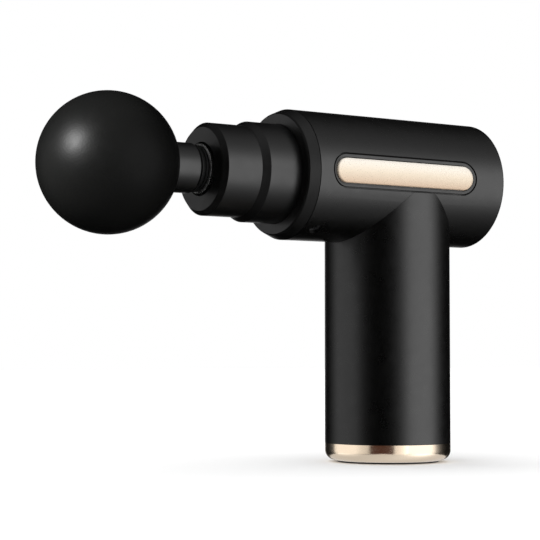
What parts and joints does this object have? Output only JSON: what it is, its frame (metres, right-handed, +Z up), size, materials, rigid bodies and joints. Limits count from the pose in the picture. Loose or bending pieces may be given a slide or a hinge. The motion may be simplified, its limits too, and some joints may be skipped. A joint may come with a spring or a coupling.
{
  "type": "massage gun",
  "caption": "Handheld percussive massager: horizontal barrel with a stepped nozzle and ball head across the top of a round upright handle.",
  "frame": {"origin": "centre of the standing face under the handle, on the handle's axis", "axes": "+Z up the handle; the barrel lies along X with the massage ball towards -X and the power button towards +X"},
  "size_m": [0.1725, 0.0464, 0.1228],
  "materials": {
    "black_shell": "satin",
    "black_plastic": "satin",
    "black_steel": "satin",
    "black_rubber": "matte",
    "acetal": "satin",
    "steel": "satin",
    "grey_plastic": "matte",
    "bare_aluminium": "satin",
    "lamination_steel": "satin",
    "copper": "satin",
    "cell_sleeve": "satin",
    "red_wire": "satin",
    "pale_wire": "satin",
    "board_green": "satin",
    "component_black": "matte",
    "champagne_gold": "polished",
    "bezel_grey": "satin",
    "light_pipe": "gloss",
    "rotor_steel": "satin",
    "black_piston": "satin",
    "ball_plastic": "matte",
    "button_rubber": "satin"
  },
  "bodies": {
    "housing": {"barrel_shell": "black_shell", "base_cap": "champagne_gold", "base_pad": "black_rubber", "base_screws": "steel", "battery_cells": "cell_sleeve", "battery_holder": "grey_plastic", "battery_leads": "red_wire", "battery_tabs": "copper", "board_chips": "component_black", "button_cable": "pale_wire", "button_ring": "champagne_gold", "collar_screws": "black_steel", "drive_frame": "grey_plastic", "dust_seal": "black_rubber", "frame_screws": "steel", "front_bush": "acetal", "front_collar": "black_plastic", "handle_shell": "black_shell", "left_bezel": "bezel_grey", "left_inlay": "champagne_gold", "light_pipes": "light_pipe", "main_board": "board_green", "motor_base": "bare_aluminium", "motor_bearings": "steel", "motor_leads": "copper", "motor_screws": "steel", "nozzle_flange_screws": "steel", "nozzle_sleeve": "black_plastic", "nozzle_tip": "black_plastic", "rear_bush": "acetal", "rear_cap": "black_plastic", "retainer_screws": "steel", "right_bezel": "bezel_grey", "right_inlay": "champagne_gold", "stator_core": "lamination_steel", "stator_windings": "copper", "switch_board": "board_green", "switch_board_screws": "steel", "tact_switch": "component_black", "usb_socket": "steel", "yoke_retainer": "grey_plastic"},
    "rotor": {"crank_bearing": "steel", "crank_disc": "rotor_steel", "crank_grub_screw": "black_steel", "crank_pin": "steel", "motor_shaft": "steel", "rotor_bell": "rotor_steel", "rotor_magnets": "steel"},
    "piston": {"piston_tube": "black_piston", "yoke": "acetal", "yoke_cross_pin": "steel"},
    "head": {"head_cushion_ring": "black_rubber", "head_o_rings": "black_rubber", "head_plug": "black_plastic", "massage_ball": "ball_plastic"},
    "button": {"power_button": "button_rubber"}
  },
  "joints": [
    {"name": "crank_spin", "type": "hinge", "parent": "housing", "child": "rotor", "pos_m": [0, 0, 0.0996], "axis": [0, 0, -1], "range_deg": [-90, 90]},
    {"name": "piston_stroke", "type": "slide", "parent": "housing", "child": "piston", "axis": [-1, 0, 0], "range_m": [-0.0035, 0.0035]},
    {"name": "head_pull", "type": "slide", "parent": "piston", "child": "head", "axis": [-1, 0, 0], "range_m": [0, 0.023]},
    {"name": "button_press", "type": "slide", "parent": "housing", "child": "button", "axis": [-1, 0, 0], "range_m": [0, 0.0008], "stiffness_N_per_m": 1500}
  ],
  "couplings": [
    {"joint": "crank_spin", "follows": "piston_stroke", "rad_per_m": 448.7}
  ]
}
